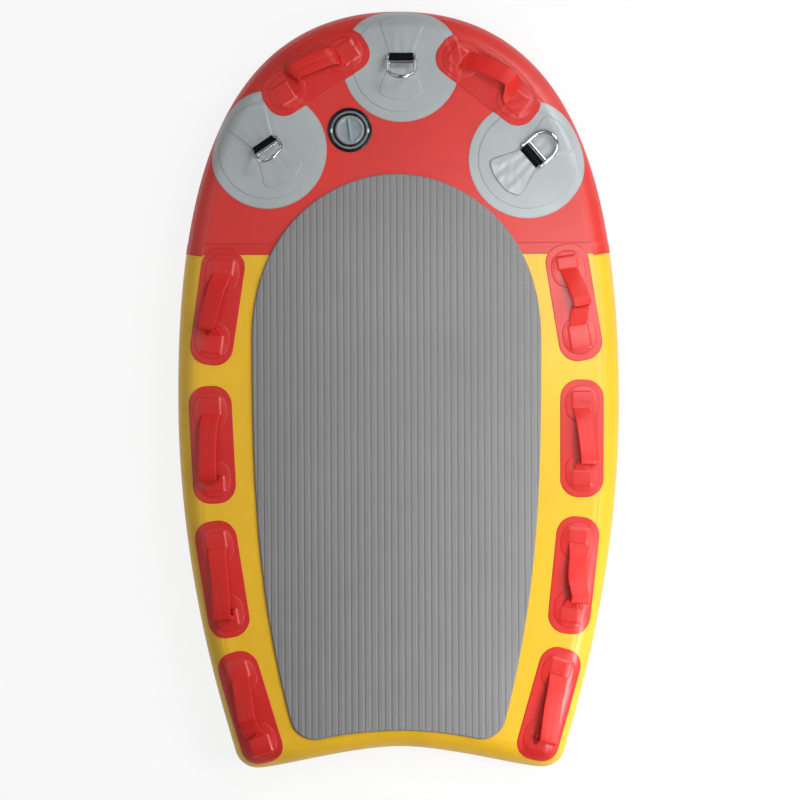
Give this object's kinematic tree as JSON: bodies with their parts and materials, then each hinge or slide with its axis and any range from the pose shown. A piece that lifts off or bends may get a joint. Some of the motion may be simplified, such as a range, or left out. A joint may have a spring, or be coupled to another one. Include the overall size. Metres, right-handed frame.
{
  "type": "watercraft rescue sled",
  "caption": "Inflatable board towed behind a small watercraft, with a grooved deck pad, looped grab handles round the edge, towing rings at the bow and an inflation valve.",
  "frame": {"origin": "on the ground under the middle of the board's length and width", "axes": "+Y towards the bow, +X to the right seen from above with the bow up, +Z out of the deck"},
  "size_m": [0.991, 1.7, 0.1685],
  "materials": {
    "red_pvc": "satin PVC on cloth, with a faint weave",
    "yellow_pvc": "satin PVC on cloth, with a faint weave",
    "red_patch_pvc": "smooth satin PVC patch, glued on",
    "grey_pvc": "smooth satin PVC patch, slightly creased",
    "red_webbing": "woven flat webbing",
    "black_webbing": "woven flat webbing",
    "polyester_cloth": "plain woven base cloth and yarn",
    "grey_foam": "matt closed-cell foam with moulded grooves",
    "black_plastic": "moulded, satin",
    "grey_plastic": "moulded, satin",
    "rubber": "matt",
    "stainless_steel": "polished"
  },
  "bodies": {
    "root": {"bottom_panel_front": "red_pvc", "bottom_panel_rear": "yellow_pvc", "bow_handle_left_patch": "red_patch_pvc", "bow_handle_left_strap": "red_webbing", "bow_handle_right_patch": "red_patch_pvc", "bow_handle_right_strap": "red_webbing", "deck_pad": "grey_foam", "deck_panel_front": "red_pvc", "deck_panel_rear": "yellow_pvc", "deck_seam_tape": "red_pvc", "drop_stitch_core": "polyester_cloth", "left_handle_1_patch": "red_patch_pvc", "left_handle_1_strap": "red_webbing", "left_handle_2_patch": "red_patch_pvc", "left_handle_2_strap": "red_webbing", "left_handle_3_patch": "red_patch_pvc", "left_handle_3_strap": "red_webbing", "left_handle_4_patch": "red_patch_pvc", "left_handle_4_strap": "red_webbing", "rail_front": "red_pvc", "rail_rear_left": "yellow_pvc", "rail_rear_right": "yellow_pvc", "rail_tail": "yellow_pvc", "right_handle_1_patch": "red_patch_pvc", "right_handle_1_strap": "red_webbing", "right_handle_2_patch": "red_patch_pvc", "right_handle_2_strap": "red_webbing", "right_handle_3_patch": "red_patch_pvc", "right_handle_3_strap": "red_webbing", "right_handle_4_patch": "red_patch_pvc", "right_handle_4_strap": "red_webbing", "tow_centre_base": "grey_pvc", "tow_centre_cover": "grey_pvc", "tow_centre_fan_strap": "grey_pvc", "tow_centre_webbing_loop": "black_webbing", "tow_left_base": "grey_pvc", "tow_left_cover": "grey_pvc", "tow_left_fan_strap": "grey_pvc", "tow_left_webbing_loop": "black_webbing", "tow_right_base": "grey_pvc", "tow_right_cover": "grey_pvc", "tow_right_fan_strap": "grey_pvc", "tow_right_webbing_loop": "black_webbing", "valve_body": "black_plastic", "valve_gasket": "rubber", "valve_nut": "black_plastic", "valve_plate": "black_plastic", "valve_spring": "stainless_steel"},
    "ring_centre": {"tow_centre_ring": "stainless_steel"},
    "ring_left": {"tow_left_ring": "stainless_steel"},
    "ring_right": {"tow_right_ring": "stainless_steel"},
    "cap_seal": {"valve_cap_seal": "rubber"},
    "valve_cap": {"valve_cap": "grey_plastic"},
    "valve_poppet": {"valve_poppet": "grey_plastic", "valve_poppet_seal": "rubber"}
  },
  "joints": [
    {"name": "ring_centre_hinge", "type": "hinge", "parent": "root", "child": "ring_centre", "pos_m": [0.00935, 0.74482, 0.1078], "axis": [-1, 0.0009, 0], "range_deg": [-44, 128]},
    {"name": "ring_left_hinge", "type": "hinge", "parent": "root", "child": "ring_left", "pos_m": [-0.29814, 0.54875, 0.1078], "axis": [-0.8293, -0.5588, 0], "range_deg": [-56, 116]},
    {"name": "ring_right_hinge", "type": "hinge", "parent": "root", "child": "ring_right", "pos_m": [0.30098, 0.52304, 0.1078], "axis": [0.6562, -0.7546, 0], "range_deg": [-3, 169]},
    {"name": "valve_cap_lift", "type": "slide", "parent": "root", "child": "cap_seal", "axis": [0, 0, 1], "range_m": [0, 0.04]},
    {"name": "valve_cap_turn", "type": "hinge", "parent": "cap_seal", "child": "valve_cap", "pos_m": [-0.10716, 0.58263, 0.1], "axis": [0, 0, 1], "range_deg": [0, 90]},
    {"name": "valve_push", "type": "slide", "parent": "root", "child": "valve_poppet", "axis": [0, 0, 1], "range_m": [-0.005, 0], "stiffness_N_per_m": 800, "springref_m": 0.004, "deforming": ["valve_spring"]}
  ]
}
